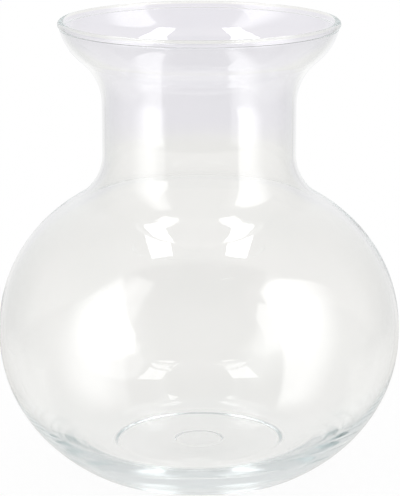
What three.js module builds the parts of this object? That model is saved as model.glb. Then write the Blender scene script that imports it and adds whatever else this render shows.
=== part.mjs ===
// A round glass vase: one piece of clear blown glass.
// A thick foot with a shallow hollow under it carries a round belly, a shoulder leads
// into a straight neck, and the mouth flares out to a rim melted to a round bead.
// Millimetres, +Z up. The origin is the centre of the ring that the vase stands on.
import * as THREE from "three";

// Driving dimensions of the outside
const bellyDiameter = 200;
const bellyHeight = 69.7; // from the table to the widest circle
const bellyRise = 81.5; // half height of the belly's oval above the widest circle
const bellyFullness = 2.1; // 2 is a plain ellipse, and more is fuller
const footCut = 12; // how much of the oval's lower end the flat foot cuts off
const heelRadius = 26; // rounding between the foot and the belly
const shoulderRadius = 27; // hollow rounding between the belly and the neck
const neckDiameter = 95.1;
const neckLength = 24.3; // the straight part
const throatRadius = 28; // hollow rounding between the neck and the flare
const flareAngle = 47.5; // degrees from upright, where the flare leans out most
const lipRadius = 28; // rounding that turns the flare back towards upright
const lipAngle = 13; // degrees from upright, just under the rim
const mouthDiameter = 137.2; // over the rim's bead

// Driving dimensions of the foot
const contactWidth = 4; // the flat ring that touches the table
const puntRise = 1.5; // height of the shallow hollow under the foot
const puntEdge = 4; // width of the hollow's sloping edge
const markDiameter = 24.6; // round mould mark in the middle of that hollow
const markDepth = 0.6;
const markSlope = 1; // width of the mark's sloping edge

// Driving dimensions of the glass thickness
const neckWall = 2;
const bellyWall = 2.3; // at the widest circle
const footThickness = 11; // over the ring that touches the table
const wallGrowth = 5; // how late the belly's wall thickens on its way down to the foot
const floorRise = 1; // how far the floor swells up in the middle
const rimSwell = 1.6; // how much thicker the rim's bead is than the wall under it

// Fineness of the faceted surface
const segments = 48;
const arcStep = 10; // largest turn in degrees between two points of the outline
const rimStep = 37; // the same on the rim's small bead
const puntRings = 3; // rings on the hollow's sloping edge
const floorRings = 5;

const radians = THREE.MathUtils.degToRad;
const degrees = THREE.MathUtils.radToDeg;

// A point of the outline is its distance from the axis, its height and the outward
// normal there, so that the inside can be laid off from the outside.
function outlinePoint(radius, height, normalRadius, normalHeight) {
  const length = Math.hypot(normalRadius, normalHeight);
  return { radius, height, normal: [normalRadius / length, normalHeight / length] };
}

// Values from start to end, in equal steps no larger than the one given.
function steps(start, end, largest) {
  const count = Math.max(1, Math.ceil(Math.abs(end - start) / largest - 1e-9));
  return Array.from({ length: count + 1 }, (_, i) => start + ((end - start) * i) / count);
}

// The value between low and high at which a falling function passes zero, by halving.
function crossing(falling, low, high) {
  for (let halving = 0; halving < 60; halving++) {
    const middle = (low + high) / 2;
    if (falling(middle) > 0) low = middle;
    else high = middle;
  }
  return (low + high) / 2;
}

// An arc about a centre. Its slope runs in degrees from upright, and side is 1 where the
// glass bulges outwards and -1 where it curves inwards.
function arc(centreRadius, centreHeight, radius, side, fromSlope, toSlope) {
  return steps(fromSlope, toSlope, arcStep).map((slope) => {
    const across = Math.cos(radians(slope));
    const up = Math.sin(radians(slope));
    return outlinePoint(
      centreRadius + side * radius * across,
      centreHeight - side * radius * up,
      across,
      -up,
    );
  });
}

// The belly is an oval. Its angle is 0 at the widest circle and a quarter turn on the
// axis, and halfHeight is negative for the lower half.
const bellyRadius = bellyDiameter / 2;
const bellyDrop = bellyHeight + footCut;
function bellyPoint(angle, halfHeight) {
  const across = Math.cos(angle) ** (2 / bellyFullness);
  const up = Math.sin(angle) ** (2 / bellyFullness);
  return outlinePoint(
    bellyRadius * across,
    bellyHeight + halfHeight * up,
    across ** (bellyFullness - 1) / bellyRadius,
    up ** (bellyFullness - 1) / halfHeight,
  );
}
const bellyArc = (from, to, halfHeight) =>
  steps(from, to, radians(arcStep)).map((angle) => bellyPoint(angle, halfHeight));

// Heel: its circle touches the table and the inside of the belly's oval
const heelCentre = (angle) => {
  const touch = bellyPoint(angle, -bellyDrop);
  return {
    radius: touch.radius - heelRadius * touch.normal[0],
    height: touch.height - heelRadius * touch.normal[1],
  };
};
const heelAngle = crossing((angle) => heelCentre(angle).height - heelRadius, 0, Math.PI / 2);
const contactOuterRadius = heelCentre(heelAngle).radius;
const contactInnerRadius = contactOuterRadius - contactWidth;
const heelNormal = bellyPoint(heelAngle, -bellyDrop).normal;
const heelSlope = degrees(Math.atan2(-heelNormal[1], heelNormal[0]));
const heel = arc(contactOuterRadius, heelRadius, heelRadius, 1, 90, heelSlope);

// Shoulder: its circle touches the neck and the outside of the belly's oval
const neckRadius = neckDiameter / 2;
const shoulderCentre = (angle) => {
  const touch = bellyPoint(angle, bellyRise);
  return {
    radius: touch.radius + shoulderRadius * touch.normal[0],
    height: touch.height + shoulderRadius * touch.normal[1],
  };
};
const shoulderCentreRadius = neckRadius + shoulderRadius;
const shoulderAngle = crossing(
  (angle) => shoulderCentre(angle).radius - shoulderCentreRadius,
  0,
  Math.PI / 2,
);
const neckBottom = shoulderCentre(shoulderAngle).height;
const shoulderNormal = bellyPoint(shoulderAngle, bellyRise).normal;
const shoulderSlope = degrees(Math.atan2(-shoulderNormal[1], shoulderNormal[0]));
const shoulder = arc(shoulderCentreRadius, neckBottom, shoulderRadius, -1, shoulderSlope, 0);

// Flare: throat, straight cone and lip between the neck and the rim. The two roundings
// shrink together where a narrow mouth leaves them too little room.
const rimRadius = (neckWall + rimSwell) / 2;
const wallTopRadius = mouthDiameter / 2 - rimRadius + neckWall / 2;
const flareWidth = wallTopRadius - neckRadius;
const cosFlare = Math.cos(radians(flareAngle));
const sinFlare = Math.sin(radians(flareAngle));
const cosLip = Math.cos(radians(lipAngle));
const roundingWidth = throatRadius * (1 - cosFlare) + lipRadius * (cosLip - cosFlare);
const shrink = Math.min(1, flareWidth / roundingWidth);
const fittedThroat = throatRadius * shrink;
const fittedLip = lipRadius * shrink;
const coneLength = (flareWidth - roundingWidth * shrink) / sinFlare;
const neckTop = neckBottom + neckLength;
const coneTop = neckTop + fittedThroat * sinFlare + coneLength * cosFlare;
const throat = arc(neckRadius + fittedThroat, neckTop, fittedThroat, -1, 0, flareAngle);
const lip = arc(
  wallTopRadius - fittedLip * cosLip,
  coneTop + fittedLip * sinFlare,
  fittedLip,
  1,
  flareAngle,
  lipAngle,
);

// The outside from the foot to the rim, without the doubled points where stretches meet
const outside = [
  ...heel.slice(0, -1),
  ...bellyArc(heelAngle, 0, -bellyDrop).slice(0, -1),
  ...bellyArc(0, shoulderAngle, bellyRise).slice(0, -1),
  ...shoulder,
  ...throat,
  ...lip,
];

// Rim: a round bead on the wall's middle line, from where it leaves the outside of the
// wall to where it meets the inside
const rimCentreRadius = mouthDiameter / 2 - rimRadius;
const rimCentreHeight = outside.at(-1).height + rimRadius;
const rimTurn = Math.acos(neckWall / 2 / rimRadius);
const rim = steps(-rimTurn, Math.PI + rimTurn, radians(rimStep)).map((turn) => ({
  radius: rimCentreRadius + rimRadius * Math.cos(turn),
  height: rimCentreHeight + rimRadius * Math.sin(turn),
}));

// Thickness of the wall at a height: even in the neck, a little more in the belly, and
// growing fast towards the foot
function wallAt(height) {
  if (height > bellyHeight) {
    const belly = THREE.MathUtils.smoothstep(neckBottom - height, 0, neckBottom - bellyHeight);
    return neckWall + (bellyWall - neckWall) * belly;
  }
  return bellyWall + (footThickness - bellyWall) * (1 - height / bellyHeight) ** wallGrowth;
}

// Inside: the outside moved in by the wall, from the rim down to over the contact ring
const inside = outside.toReversed().map(({ radius, height, normal }) => ({
  radius: radius - wallAt(height) * normal[0],
  height: height - wallAt(height) * normal[1],
}));

// Floor: a soft swelling from over the contact ring to the axis
const floor = steps(contactOuterRadius, 0, contactOuterRadius / floorRings)
  .slice(1)
  .map((radius) => {
    const swell = (1 + Math.cos((Math.PI * radius) / contactOuterRadius)) / 2;
    return { radius, height: footThickness + floorRise * swell };
  });

// Underside: the mould mark, the flat hollow and its soft slope down to the ring
const markRadius = markDiameter / 2;
const markFloor = puntRise + markDepth;
const puntRadius = contactInnerRadius - puntEdge;
const underside = [
  { radius: 0, height: markFloor },
  { radius: markRadius - markSlope, height: markFloor },
  { radius: markRadius, height: puntRise },
  ...steps(puntRadius, contactInnerRadius, puntEdge / puntRings).map((radius) => ({
    radius,
    height: puntRise * THREE.MathUtils.smoothstep(contactInnerRadius - radius, 0, puntEdge),
  })),
];

// The whole outline, from the axis under the foot, up the outside, over the rim and down
// the inside to the axis again
const outline = [...underside, ...outside, ...rim, ...inside, ...floor].map(
  (point) => new THREE.Vector2(point.radius, point.height),
);

const clearGlass = new THREE.MeshStandardMaterial({
  color: 0xe6eeea,
  roughness: 0.03,
  metalness: 0,
  transparent: true,
  opacity: 0.35,
});

// A lathe turns its outline about +Y, and the vase stands along +Z.
const vaseGeometry = new THREE.LatheGeometry(outline, segments).rotateX(Math.PI / 2);
const vase = new THREE.Mesh(vaseGeometry, clearGlass);
vase.name = "vase_glass";

const group = new THREE.Group();
group.add(vase);

const heightOverAll = rimCentreHeight + rimRadius;
const middleThickness = footThickness + floorRise - markFloor;
console.log(`vase: ${bellyDiameter} mm across, ${heightOverAll.toFixed(1)} mm high`);
console.log(`contact ring: ${(2 * contactOuterRadius).toFixed(1)} mm across`);
console.log(`foot: ${middleThickness.toFixed(1)} mm thick in the middle`);

export default group;
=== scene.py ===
# %% [markdown]
# A round vase of clear blown glass. On the real thing everything is one wall of glass: a
# thick foot, a full belly, a straight neck and a flared mouth whose edge was melted round.
# Clear glass has almost no colour of its own. It is seen by what it reflects, by what it
# bends, and by the faint tint where it is thick, so this scene is about an exact outline,
# a true wall thickness and a studio with something in it to reflect.

# %% The frame
import math

import bmesh
import bpy
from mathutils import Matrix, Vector, noise


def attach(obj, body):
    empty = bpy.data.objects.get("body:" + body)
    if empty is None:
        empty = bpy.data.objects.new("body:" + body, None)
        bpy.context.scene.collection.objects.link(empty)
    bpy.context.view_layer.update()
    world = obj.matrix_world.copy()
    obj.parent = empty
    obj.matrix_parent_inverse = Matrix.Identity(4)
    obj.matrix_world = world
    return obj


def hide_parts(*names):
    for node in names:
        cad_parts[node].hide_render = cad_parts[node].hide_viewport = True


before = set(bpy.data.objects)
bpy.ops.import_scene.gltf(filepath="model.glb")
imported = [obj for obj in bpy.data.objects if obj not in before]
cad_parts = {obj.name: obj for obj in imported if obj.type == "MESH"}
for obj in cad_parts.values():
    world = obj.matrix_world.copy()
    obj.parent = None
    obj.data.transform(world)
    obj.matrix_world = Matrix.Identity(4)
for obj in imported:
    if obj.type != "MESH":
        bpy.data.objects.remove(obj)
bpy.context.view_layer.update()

# %% [markdown]
# The outline is drawn in millimetres, as a glass maker's drawing would be, and turned into
# metres at the very end. These are the sizes that such a drawing carries. The belly's
# width and the whole height also come with the frame.

# %% The vase's sizes
MM = 0.001

BELLY_RADIUS = 100
BELLY_HEIGHT = 69.7
BELLY_RISE = 81.5
BELLY_FULLNESS = 2.1
FOOT_CUT = 12
HEEL_RADIUS = 26
SHOULDER_RADIUS = 27
NECK_RADIUS = 47.55
NECK_LENGTH = 24.3
THROAT_RADIUS = 28
FLARE_ANGLE = math.radians(47.5)
LIP_RADIUS = 28
LIP_ANGLE = math.radians(13)
MOUTH_RADIUS = 68.6

CONTACT_WIDTH = 4
PUNT_RISE = 1.5
PUNT_EDGE = 4
MARK_RADIUS = 12.3
MARK_DEPTH = 0.6
MARK_EDGE = 1

NECK_WALL = 2
BELLY_WALL = 2.3
FOOT_THICKNESS = 11
WALL_GROWTH = 5
FLOOR_RISE = 1
RIM_RADIUS = 1.8

# %% [markdown]
# A curve drawn in short straight steps shows its corners in glass, where every reflection
# bends with the surface. The outline is therefore a run of arcs in fine steps. Each point
# keeps the direction that faces out of the glass, so that the inside can be laid off later.

# %% Points of an outline
FINE_STEP = math.radians(1.5)


def outline_point(radius, height, facing_out, facing_up):
    normal = Vector((facing_out, facing_up)).normalized()
    return Vector((radius, height)), normal


def steps(start, end, largest):
    count = max(1, math.ceil(abs(end - start) / largest - 1e-9))
    return [start + (end - start) * i / count for i in range(count + 1)]


def arc(centre, radius, side, from_slope, to_slope):
    points = []
    for slope in steps(from_slope, to_slope, FINE_STEP):
        out, up = math.cos(slope), math.sin(slope)
        place = (centre[0] + side * radius * out, centre[1] - side * radius * up)
        points.append(outline_point(*place, out, -up))
    return points


def crossing(falling, low, high):
    for _ in range(60):
        middle = (low + high) / 2
        if falling(middle) > 0:
            low = middle
        else:
            high = middle
    return (low + high) / 2


print("a quarter circle takes", len(arc((0, 0), 1, 1, 0, math.pi / 2)), "points")

# %% [markdown]
# The belly is an oval that is a touch fuller than an ellipse. The foot is cut off its lower
# end, and the heel rounds that cut with a circle that touches the table and the oval. The
# shoulder does the same at the top, with a hollow circle that touches the oval and the neck.

# %% Belly, heel and shoulder
BELLY_DROP = BELLY_HEIGHT + FOOT_CUT


def belly_point(angle, half_height):
    out = math.cos(angle) ** (2 / BELLY_FULLNESS)
    up = math.sin(angle) ** (2 / BELLY_FULLNESS)
    return outline_point(
        BELLY_RADIUS * out,
        BELLY_HEIGHT + half_height * up,
        out ** (BELLY_FULLNESS - 1) / BELLY_RADIUS,
        up ** (BELLY_FULLNESS - 1) / half_height,
    )


def touching_centre(angle, half_height, radius):
    point, normal = belly_point(angle, half_height)
    return point + radius * normal


heel_angle = crossing(
    lambda a: touching_centre(a, -BELLY_DROP, -HEEL_RADIUS)[1] - HEEL_RADIUS, 0, math.pi / 2
)
contact_radius = touching_centre(heel_angle, -BELLY_DROP, -HEEL_RADIUS)[0]
heel_normal = belly_point(heel_angle, -BELLY_DROP)[1]
heel_slope = math.atan2(-heel_normal[1], heel_normal[0])
heel = arc((contact_radius, HEEL_RADIUS), HEEL_RADIUS, 1, math.pi / 2, heel_slope)

shoulder_angle = crossing(
    lambda a: touching_centre(a, BELLY_RISE, SHOULDER_RADIUS)[0] - NECK_RADIUS - SHOULDER_RADIUS,
    0,
    math.pi / 2,
)
neck_bottom = touching_centre(shoulder_angle, BELLY_RISE, SHOULDER_RADIUS)[1]
shoulder_normal = belly_point(shoulder_angle, BELLY_RISE)[1]
shoulder_slope = math.atan2(-shoulder_normal[1], shoulder_normal[0])
shoulder = arc((NECK_RADIUS + SHOULDER_RADIUS, neck_bottom), SHOULDER_RADIUS, -1, shoulder_slope, 0)

belly = [belly_point(a, -BELLY_DROP) for a in steps(heel_angle, 0, FINE_STEP)][1:-1]
belly += [belly_point(a, BELLY_RISE) for a in steps(0, shoulder_angle, FINE_STEP)][:-1]
print(f"contact ring {2 * contact_radius:.1f} mm, neck starts {neck_bottom:.1f} mm up")

# %% [markdown]
# The flare is a hollow circle out of the neck, a short straight cone and a lip that turns
# back towards upright. The rim is a round bead a little thicker than the wall, as fire
# leaves it when it melts the cut edge.

# %% Flare and rim
wall_top_radius = MOUTH_RADIUS - RIM_RADIUS + NECK_WALL / 2
flare_width = wall_top_radius - NECK_RADIUS
throat_width = THROAT_RADIUS * (1 - math.cos(FLARE_ANGLE))
lip_width = LIP_RADIUS * (math.cos(LIP_ANGLE) - math.cos(FLARE_ANGLE))
cone_length = (flare_width - throat_width - lip_width) / math.sin(FLARE_ANGLE)
neck_top = neck_bottom + NECK_LENGTH
cone_top = neck_top + THROAT_RADIUS * math.sin(FLARE_ANGLE) + cone_length * math.cos(FLARE_ANGLE)

throat = arc((NECK_RADIUS + THROAT_RADIUS, neck_top), THROAT_RADIUS, -1, 0, FLARE_ANGLE)
lip_centre = (
    wall_top_radius - LIP_RADIUS * math.cos(LIP_ANGLE),
    cone_top + LIP_RADIUS * math.sin(FLARE_ANGLE),
)
lip = arc(lip_centre, LIP_RADIUS, 1, FLARE_ANGLE, LIP_ANGLE)

RIM_STEP = math.radians(10)
rim_centre = Vector((MOUTH_RADIUS - RIM_RADIUS, lip[-1][0][1] + RIM_RADIUS))
rim_turn = math.acos(NECK_WALL / 2 / RIM_RADIUS)
rim = [
    rim_centre + RIM_RADIUS * Vector((math.cos(t), math.sin(t)))
    for t in steps(-rim_turn, math.pi + rim_turn, RIM_STEP)
]
print(f"cone {cone_length:.1f} mm, height {rim_centre[1] + RIM_RADIUS:.1f} mm")

# %% [markdown]
# The wall is even in the neck and a little thicker in the belly, and it grows fast towards
# the foot, where the gather of glass stayed thick. The inside is the outside moved in by
# that thickness, and the floor swells up softly in the middle.

# %% Inside and floor
STRETCH_STEP = 2


def smoothstep(x, low, high):
    t = min(1, max(0, (x - low) / (high - low)))
    return t * t * (3 - 2 * t)


def wall_at(height):
    if height > BELLY_HEIGHT:
        belly_share = smoothstep(neck_bottom - height, 0, neck_bottom - BELLY_HEIGHT)
        return NECK_WALL + (BELLY_WALL - NECK_WALL) * belly_share
    growth = (1 - height / BELLY_HEIGHT) ** WALL_GROWTH
    return BELLY_WALL + (FOOT_THICKNESS - BELLY_WALL) * growth


neck = [
    outline_point(NECK_RADIUS, h, 1, 0) for h in steps(neck_bottom, neck_top, STRETCH_STEP)
][1:-1]
outside = heel + belly + shoulder + neck + throat + lip
inside = [point - wall_at(point[1]) * normal for point, normal in reversed(outside)]

floor_rings = steps(contact_radius, 0, STRETCH_STEP)[1:]
floor = [
    Vector((r, FOOT_THICKNESS + FLOOR_RISE * (1 + math.cos(math.pi * r / contact_radius)) / 2))
    for r in floor_rings
]
print(f"wall {wall_at(0):.1f} mm at the foot, {wall_at(20):.1f} mm at 20 mm up")

# %% [markdown]
# The vase stands on a narrow ring. Inside it the underside rises by a millimetre and a half
# over a short slope, so that an uneven middle can't make the vase rock. The shallow round
# step in the centre is the mark that the bottom of the mould leaves.

# %% Underside
UNDERSIDE_STEP = 0.5
contact_inner = contact_radius - CONTACT_WIDTH


def underside_height(radius):
    punt = PUNT_RISE * smoothstep(contact_inner - radius, 0, PUNT_EDGE)
    mark = 1 - smoothstep(radius, MARK_RADIUS - MARK_EDGE, MARK_RADIUS)
    return punt + MARK_DEPTH * mark


underside = [
    Vector((r, underside_height(r))) for r in steps(0, contact_inner, UNDERSIDE_STEP)
]
print(f"foot {floor[-1][1] - underside[0][1]:.1f} mm thick in the middle")

# %% [markdown]
# Spinning the outline about the axis makes the whole vase in one go. Both ends of the
# outline lie on the axis, so the spin closes the solid, and merging the doubled points
# there leaves clean poles. Each point carries its share of the foot's lean along with it,
# because the spin hands that number on to every copy. It is used in the next step.

# %% Spin the vase
SPIN_STEPS = 180
LEAN_HEIGHT = 60


def spun(name, points, shares, count):
    bm = bmesh.new()
    lean = bm.verts.layers.float.new("lean")
    ring = []
    for point, share in zip(points, shares):
        vertex = bm.verts.new((point[0] * MM, 0, point[1] * MM))
        vertex[lean] = share
        ring.append(vertex)
    edges = [bm.edges.new(pair) for pair in zip(ring, ring[1:])]
    bmesh.ops.spin(
        bm,
        geom=ring + edges,
        cent=(0, 0, 0),
        axis=(0, 0, 1),
        angle=2 * math.pi,
        steps=count,
        use_merge=True,
    )
    bmesh.ops.remove_doubles(bm, verts=bm.verts, dist=1e-6)
    bmesh.ops.recalc_face_normals(bm, faces=bm.faces)
    for face in bm.faces:
        face.smooth = True
    mesh = bpy.data.meshes.new(name)
    bm.to_mesh(mesh)
    bm.free()
    piece = bpy.data.objects.new(name, mesh)
    bpy.context.scene.collection.objects.link(piece)
    return piece


def lean_share(height):
    return max(0, 1 - height / LEAN_HEIGHT) ** 2


outer_points = underside + [point for point, normal in outside] + rim
inner_points = inside + floor
lean_shares = [0] * len(outer_points) + [lean_share(point[1]) for point in inner_points]
vase = spun("vase_blown_glass", outer_points + inner_points, lean_shares, SPIN_STEPS)
print(vase.name, len(vase.data.polygons), "faces from", len(lean_shares), "points")

# %% [markdown]
# Blown glass is never quite even. Here the inner surface leans and waves a little at the
# foot, as it does where soft glass ran to one side, and the whole wall thins by a few
# hundredths of a millimetre, which makes the reflections waver. The lean and the waves add
# glass in one place and take it away in another. On the outside glass is only taken away,
# so the vase stays inside its drawing.

# %% The unevenness of blown glass
LEAN_TILT = 0.02
LEAN_WAVE_SIZE = 0.025
LEAN_WAVE = 0.00015
LEAN_WAVE_PLACE = Vector((3, 7, 1))
WEAVE_SIZE = 0.045
WEAVE_DEPTH = 0.00003

outward = [vertex.normal.copy() for vertex in vase.data.vertices]
shares = [item.value for item in vase.data.attributes["lean"].data]
for vertex, normal, share in zip(vase.data.vertices, outward, shares):
    vertex.co.z += LEAN_TILT * vertex.co.x * share
    wave = noise.noise(vertex.co / LEAN_WAVE_SIZE + LEAN_WAVE_PLACE) * LEAN_WAVE * share
    weave = (noise.noise(vertex.co / WEAVE_SIZE) - 1) * WEAVE_DEPTH
    vertex.co += normal * (wave + weave)
edge_lean = LEAN_TILT * contact_radius * lean_share(FOOT_THICKNESS)
leaning = sum(share > 0 for share in shares)
print(leaning, f"points lean, by {edge_lean:.2f} mm at the floor's edge")

# %% [markdown]
# Shader maths reads best as plain Python. This small class wraps a node's output, and
# each operator adds the Math node that does the sum, so that 1 - mask works as written.


# %% A socket that does sums
class Value:
    def __init__(self, tree, socket):
        self.tree = tree
        self.socket = socket

    def math(self, operation, *others):
        return self.node("ShaderNodeMath", {"operation": operation}, [self, *others])

    def node(self, kind, settings, inputs, output=0):
        made = self.tree.nodes.new(kind)
        for name, setting in settings.items():
            setattr(made, name, setting)
        pairs = inputs.items() if isinstance(inputs, dict) else enumerate(inputs)
        for key, value in pairs:
            if isinstance(value, Value):
                self.tree.links.new(value.socket, made.inputs[key])
            else:
                made.inputs[key].default_value = value
        return Value(self.tree, made.outputs[output] if made.outputs else None)

    def output(self, name):
        """Another output of the same node."""
        return Value(self.tree, self.socket.node.outputs[name])

    def between(self, low, high):
        """0 below low, 1 above high and a smooth step in between. Swapped limits fall."""
        start, end = (0.0, 1.0) if high > low else (1.0, 0.0)
        limits = {0: self, 1: min(low, high), 2: max(low, high), 3: start, 4: end}
        return self.node("ShaderNodeMapRange", {"interpolation_type": "SMOOTHSTEP"}, limits)

    def mixed(self, factor, first, second):
        """A blend of two colours, from the first at 0 to the second at 1."""
        settings = {"data_type": "RGBA"}
        return self.node("ShaderNodeMix", settings, {0: factor, 6: first, 7: second}, 2)

    def __add__(self, other):
        return self.math("ADD", other)

    def __mul__(self, other):
        return self.math("MULTIPLY", other)

    def __truediv__(self, other):
        return self.math("DIVIDE", other)

    def __neg__(self):
        return self * -1.0

    def __abs__(self):
        return self.math("ABSOLUTE")

    def __sub__(self, other):
        return self.math("SUBTRACT", other)

    def __rsub__(self, other):
        return -self + other

    __radd__ = __add__
    __rmul__ = __mul__


def blank(owner):
    """The handle through which the first nodes of an emptied tree are made."""
    owner.use_nodes = True
    owner.node_tree.nodes.clear()
    return Value(owner.node_tree, None)


print("sums:", ", ".join(name for name in vars(Value) if not name.startswith("__init")))

# %% [markdown]
# Clear glass is one Principled shader with full transmission. Towards the outline the eye
# looks along the wall and through much more of it, so the glass greys and greens a little
# at its edges. Annealing leaves faint clouds on the surface and the mould a fine ripple.
# The underside was pressed and never fire polished, so it is less smooth than the rest.

# %% The surface of the glass
EDGE_TINT = (0.97, 0.98, 0.98, 1)
CLEAR_TINT = (0.998, 1.0, 0.999, 1)
CLOUD_TINT = (0.99, 0.995, 0.993, 1)
CLOUD_NOISE = {"Scale": 26.0, "Detail": 3.0}
RIPPLE_NOISE = {"Scale": 55.0, "Detail": 1.0}
RIPPLE_DEPTH = 0.00001
EDGE_FACING = (0.35, 0.95)
CLOUD_ROUGHNESS = 0.02
PRESSED_ROUGHNESS = 0.12
PRESSED_TOP = (0.006, 0.004)
GLASS_IOR = 1.5

clear_glass = bpy.data.materials.new("clear_glass")
glass = blank(clear_glass)
on_glass = glass.node("ShaderNodeTexCoord", {}, {}, "Object")
spot = glass.node("ShaderNodeSeparateXYZ", {}, [on_glass], "X")
spot_y, spot_z = spot.output("Y"), spot.output("Z")
from_axis = (spot * spot + spot_y * spot_y).math("SQRT")

clouds = glass.node("ShaderNodeTexNoise", {}, {"Vector": on_glass, **CLOUD_NOISE})
ripple = glass.node("ShaderNodeTexNoise", {}, {"Vector": on_glass, **RIPPLE_NOISE})
edge = glass.node("ShaderNodeLayerWeight", {}, {"Blend": 0.5}, "Facing").between(*EDGE_FACING)
colour = glass.mixed(clouds.between(0.4, 0.7), CLEAR_TINT, CLOUD_TINT)
colour = glass.mixed(edge, colour, EDGE_TINT)
pressed = from_axis.between(contact_radius * MM, contact_inner * MM)
pressed = spot_z.between(*PRESSED_TOP) * pressed
roughness = clouds.between(0.45, 0.75) * CLOUD_ROUGHNESS + pressed * PRESSED_ROUGHNESS
bumps = {"Strength": 1.0, "Distance": RIPPLE_DEPTH, "Height": ripple}
bumped = glass.node("ShaderNodeBump", {}, bumps)

glass_sockets = {
    "Base Color": colour,
    "Roughness": roughness,
    "IOR": GLASS_IOR,
    "Transmission Weight": 1.0,
    "Normal": bumped,
}
surface = glass.node("ShaderNodeBsdfPrincipled", {}, glass_sockets)
print("glass surface:", len(clear_glass.node_tree.nodes), "nodes")

# %% [markdown]
# The tint in the depth of the glass isn't a surface colour. A volume inside the closed wall
# takes a little light for every millimetre that it crosses, most of it red, so the thin
# belly stays clear and the thick foot turns a pale grey green.

# %% The tint in the depth
DEPTH_TINT = (0.829, 0.876, 0.88, 1)
DEPTH_DENSITY = 5

depth = {"Color": DEPTH_TINT, "Density": DEPTH_DENSITY}
tint = glass.node("ShaderNodeVolumeAbsorption", {}, depth)
glass.node("ShaderNodeOutputMaterial", {}, {"Surface": surface, "Volume": tint})

vase.data.materials.append(clear_glass)
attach(vase, "root")
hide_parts("vase_glass")
print(vase.name, "wears", clear_glass.name)

# %% [markdown]
# The studio is in the world shader, so nothing stands in the way of any view. It is drawn
# by direction, in degrees: across is 0 towards the camera, 90 to its right and 180 behind
# the vase, and height is 0 at the horizon and 90 overhead.
#
# The two tall soft lights on either side are what shapes the belly. Their edges lean and
# soften as the patches on the glass do. Both reach below the horizon, as lights do that
# come back off a shiny table. A pair of numbers says where a light begins to change and
# where the change is complete.

# %% The side lights
LEFT_EDGE = 37
LEFT_LEAN = 0.72
LEFT_LEANS_ABOVE = 18
LEFT_FAR_LEAN = 0.45
LEFT_FAR_LEANS_ABOVE = 20
LEFT_FAR_EDGE = (91, 60)
LEFT_BOTTOM = (3, 6)
LEFT_TOP = (59, 55)
LEFT_TABLE_STEPS = [((38, 44), 0.5), ((44, 58), 0.45)]
LEFT_TABLE_BOTTOM = (-42, -18)
RIGHT_EDGE = (45.5, 50)
RIGHT_FAR_EDGE = (90, 64)
RIGHT_FAR_LEAN = 0.35
RIGHT_MIDDLE = 62
RIGHT_TOP_CURVE = 0.02
RIGHT_TOP = (53, 49)
RIGHT_BOTTOM = (-40, -24)

world = bpy.data.worlds.new("studio")
bpy.context.scene.world = world
sky = blank(world)

direction = sky.node("ShaderNodeTexCoord", {}, {}, "Generated")
x = sky.node("ShaderNodeSeparateXYZ", {}, [direction], "X")
y, z = x.output("Y"), x.output("Z")
across = x.math("ARCTAN2", -y) * (180 / math.pi)
height = z.math("ARCSINE") * (180 / math.pi)

left_inner = (height - LEFT_LEANS_ABOVE).math("MAXIMUM", 0) * LEFT_LEAN + LEFT_EDGE
left_outer = (height - LEFT_FAR_LEANS_ABOVE).math("MAXIMUM", 0) * LEFT_FAR_LEAN - across
leftwards = -across
left_light = (leftwards - left_inner).between(-1, 1) * height.between(*LEFT_BOTTOM)
low_steps = [leftwards.between(*edge) * share for edge, share in LEFT_TABLE_STEPS]
left_low = (low_steps[0] + low_steps[1]) * height.between(*LEFT_TABLE_BOTTOM)
left_light = left_light.math("MAXIMUM", left_low)
left_light = left_light * left_outer.between(*LEFT_FAR_EDGE) * height.between(*LEFT_TOP)

right_outer = across - height * RIGHT_FAR_LEAN
right_top = (across - RIGHT_MIDDLE) * (across - RIGHT_MIDDLE) * RIGHT_TOP_CURVE + height
right_light = across.between(*RIGHT_EDGE) * right_outer.between(*RIGHT_FAR_EDGE)
right_light = right_light * right_top.between(*RIGHT_TOP) * height.between(*RIGHT_BOTTOM)
print("side lights:", len(world.node_tree.nodes), "nodes")

# %% [markdown]
# A faint glow fills the gaps between the side lights and the middle, and pale walls stand
# at the sides and far behind. They are what the outline of the glass reflects.

# %% The walls
GLOW_SIDES = [(29, 46), (75, 55)]
GLOW_HEIGHTS = [(3, 6), (58, 50)]
WALL_BEGINS = (30, 60)
WALL_LEVEL = 0.1
WALL_RISE = 0.26
WALL_RISE_SIDE = (40, 80)
WALL_RISE_TOP = (52, 15)
BACK_BEGINS = (120, 170)
BACK_TOP = (70, 40)
BACK_LEVEL = 0.47
BACK_RISE = 0.12
BACK_RISE_TOP = (0, -25)

sideways = abs(across)
inner_glow = sideways.between(*GLOW_SIDES[0]) * sideways.between(*GLOW_SIDES[1])
inner_glow = inner_glow * height.between(*GLOW_HEIGHTS[0])
inner_glow = inner_glow * height.between(*GLOW_HEIGHTS[1])
side_walls = sideways.between(*WALL_RISE_SIDE) * height.between(*WALL_RISE_TOP)
side_walls = (side_walls * WALL_RISE + WALL_LEVEL) * sideways.between(*WALL_BEGINS)
back_wall = sideways.between(*BACK_BEGINS) * height.between(*BACK_TOP)
back_wall = back_wall * (height.between(*BACK_RISE_TOP) * BACK_RISE + BACK_LEVEL)
print("whole studio:", len(world.node_tree.nodes), "nodes")

# %% [markdown]
# Two small square lights hang overhead. They are near enough that the mouth and the belly
# see them in different places, so they are real lamps and not part of the far studio. They
# only show in reflections and add nothing to the even light on paper.

# %% The overhead lamps
LAMP_HEIGHT = 0.68
LAMP_INNER = 0.12
LAMP_WIDTH = 0.105
LAMP_FRONT = -0.13
LAMP_DEPTH = 0.31
LAMP_LEVEL = 4.4

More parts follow.
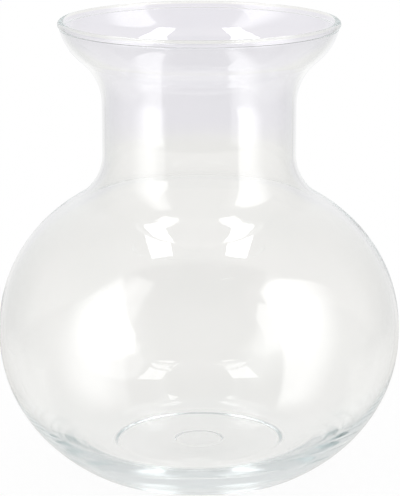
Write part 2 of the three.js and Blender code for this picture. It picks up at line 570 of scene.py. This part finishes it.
for side in (-1, 1):
    light = bpy.data.lights.new("overhead", "AREA")
    light.shape = "RECTANGLE"
    light.size = LAMP_WIDTH
    light.size_y = LAMP_DEPTH
    light.energy = LAMP_LEVEL * math.pi * LAMP_WIDTH * LAMP_DEPTH
    lamp = bpy.data.objects.new("overhead", light)
    lamp_x = side * (LAMP_INNER + LAMP_WIDTH / 2)
    lamp.location = (lamp_x, LAMP_FRONT + LAMP_DEPTH / 2, LAMP_HEIGHT)
    lamp.visible_camera = False
    lamp.visible_diffuse = False
    bpy.context.scene.collection.objects.link(lamp)
    print(lamp.name, list(lamp.location), f"{light.energy:.2f} W")

# %% [markdown]
# What is seen past the glass is plain white, and what is seen straight through it is the
# pale lavender of a far sheet of paper. Only a reflection sees the dim room with its
# lights. Light that is reflected more than once, as in the thick foot, would need a much
# richer room than this one. It is given instead: the lights in it are dimmed, and an
# even grey is the least that it sees.

# %% What a ray sees of the studio
ROOM_LEVEL = 0.05
SIDE_LEVEL = 1.9
GLOW_LEVEL = 0.35
CAUGHT_LEVEL = 0.8
CAUGHT_DIMMING = 0.4
WHITE = (1, 1, 1, 1)
BLACK = (0, 0, 0, 1)
FAR_PAPER = (0.885, 0.868, 0.915, 1)

room = (left_light + right_light) * SIDE_LEVEL + inner_glow * GLOW_LEVEL
room = room + side_walls + back_wall + ROOM_LEVEL

reflections = sky.node("ShaderNodeLightPath", {}, {}, "Glossy Depth")
through = reflections.output("Is Transmission Ray")
reflected = reflections.math("GREATER_THAN", 0.5)
caught = reflections.math("GREATER_THAN", 1.5)
room = room * (1 - caught * CAUGHT_DIMMING)
room = room.math("MAXIMUM", caught * CAUGHT_LEVEL)
seen = sky.mixed(through, WHITE, FAR_PAPER)
lit = sky.mixed(reflected, seen, WHITE)
level = reflected * room + (1 - reflected)
backdrop = sky.node("ShaderNodeBackground", {}, {"Strength": level, "Color": lit})
sky.node("ShaderNodeOutputWorld", {}, {"Surface": backdrop})
print("side lights at", SIDE_LEVEL, "in a room at", ROOM_LEVEL)

# %% [markdown]
# The floor is a wide sheet of paper. Past the glass it is white, and through the glass it
# keeps the warm white of near paper, a greyer white farther back and the lavender of the
# far end. A single reflection sees it only close to the vase, as if the sheet ended just in
# front of it. Most of the sheet's light is its own, so that it is evenly white, and the
# rest comes from the room and holds the vase's shadow.

# %% The floor
FLOOR_HALF = 6
TABLE_FRONT = 0.05
TABLE_FADE = (0.2, 0.5)
REFLECTED_PAPER = 0.8
OWN_LIGHT = 0.95
NEAR_PAPER = (0.985, 0.975, 0.955, 1)
PAPER_CHANGES = [
    (0.2, 0.34, (0.955, 0.944, 0.925, 1)),
    (0.72, 0.92, (0.915, 0.897, 0.94, 1)),
    (1.3, 1.42, FAR_PAPER),
]

bm = bmesh.new()
bmesh.ops.create_grid(bm, x_segments=1, y_segments=1, size=FLOOR_HALF)
floor_mesh = bpy.data.meshes.new("floor")
bm.to_mesh(floor_mesh)
bm.free()
floor_sheet = bpy.data.objects.new("floor", floor_mesh)
bpy.context.scene.collection.objects.link(floor_sheet)

white_sheet = bpy.data.materials.new("white_sheet")
paper = blank(white_sheet)
spot = paper.node("ShaderNodeTexCoord", {}, {}, "Object")
spot = paper.node("ShaderNodeSeparateXYZ", {}, [spot], "X")
spot_y = spot.output("Y")
from_vase = (spot * spot + spot_y * spot_y).math("SQRT")
bounces = paper.node("ShaderNodeLightPath", {}, {}, "Glossy Depth")
once = bounces.math("GREATER_THAN", 0.5) * bounces.math("LESS_THAN", 1.5)

paper_colour = NEAR_PAPER
for begins, ends, tint in PAPER_CHANGES:
    paper_colour = paper.mixed(from_vase.between(begins, ends), paper_colour, tint)
paper_colour = paper.mixed(bounces.output("Is Camera Ray"), paper_colour, WHITE)
lit_sheet = paper.node("ShaderNodeBsdfDiffuse", {}, {"Color": paper_colour})
own_colour = paper.mixed((1 - REFLECTED_PAPER) * once, paper_colour, BLACK)
own_light = paper.node("ShaderNodeEmission", {}, {"Color": own_colour})
sheet = paper.node("ShaderNodeMixShader", {}, [OWN_LIGHT, lit_sheet, own_light])

past_edge = (-spot_y).between(TABLE_FRONT - 0.02, TABLE_FRONT + 0.02)
past_edge = past_edge.math("MAXIMUM", from_vase.between(*TABLE_FADE))
see_past = paper.node("ShaderNodeBsdfTransparent", {}, {})
sheet = paper.node("ShaderNodeMixShader", {}, [once * past_edge, sheet, see_past])
paper.node("ShaderNodeOutputMaterial", {}, {"Surface": sheet})
floor_mesh.materials.append(white_sheet)
print("floor:", 2 * FLOOR_HALF, "m wide,", len(white_sheet.node_tree.nodes), "nodes")

# %% [markdown]
# The camera stands a little over nine tenths of a metre in front of the vase and looks
# down at it through a long lens, which is why the mouth shows as a flat oval.

# %% The camera
CAMERA_BACK = 0.9545
CAMERA_UP = 0.3616
LOOK_DOWN = math.radians(14.74)
LENS = 144.0
AXIS_SHIFT = 0.9 / 496

lens = bpy.data.cameras.new("camera")
lens.lens = LENS
lens.sensor_width = 36
lens.shift_x = AXIS_SHIFT
camera = bpy.data.objects.new("camera", lens)
camera.location = (0, -CAMERA_BACK, CAMERA_UP)
camera.rotation_euler = (math.pi / 2 - LOOK_DOWN, 0, 0)
bpy.context.scene.collection.objects.link(camera)
bpy.context.scene.camera = camera
print("camera at", list(camera.location), "with a lens of", LENS, "mm")

# %% [markdown]
# Glass needs long paths, because light crosses four surfaces to pass through the vase and
# many more where the foot traps it.

# %% Light paths and colour
LONGEST_PATH = 256

scene = bpy.context.scene
scene.cycles.max_bounces = LONGEST_PATH
scene.cycles.transmission_bounces = LONGEST_PATH
scene.cycles.glossy_bounces = LONGEST_PATH
scene.view_settings.view_transform = "Standard"
print("paths of up to", LONGEST_PATH, "bounces")

# %% [markdown]
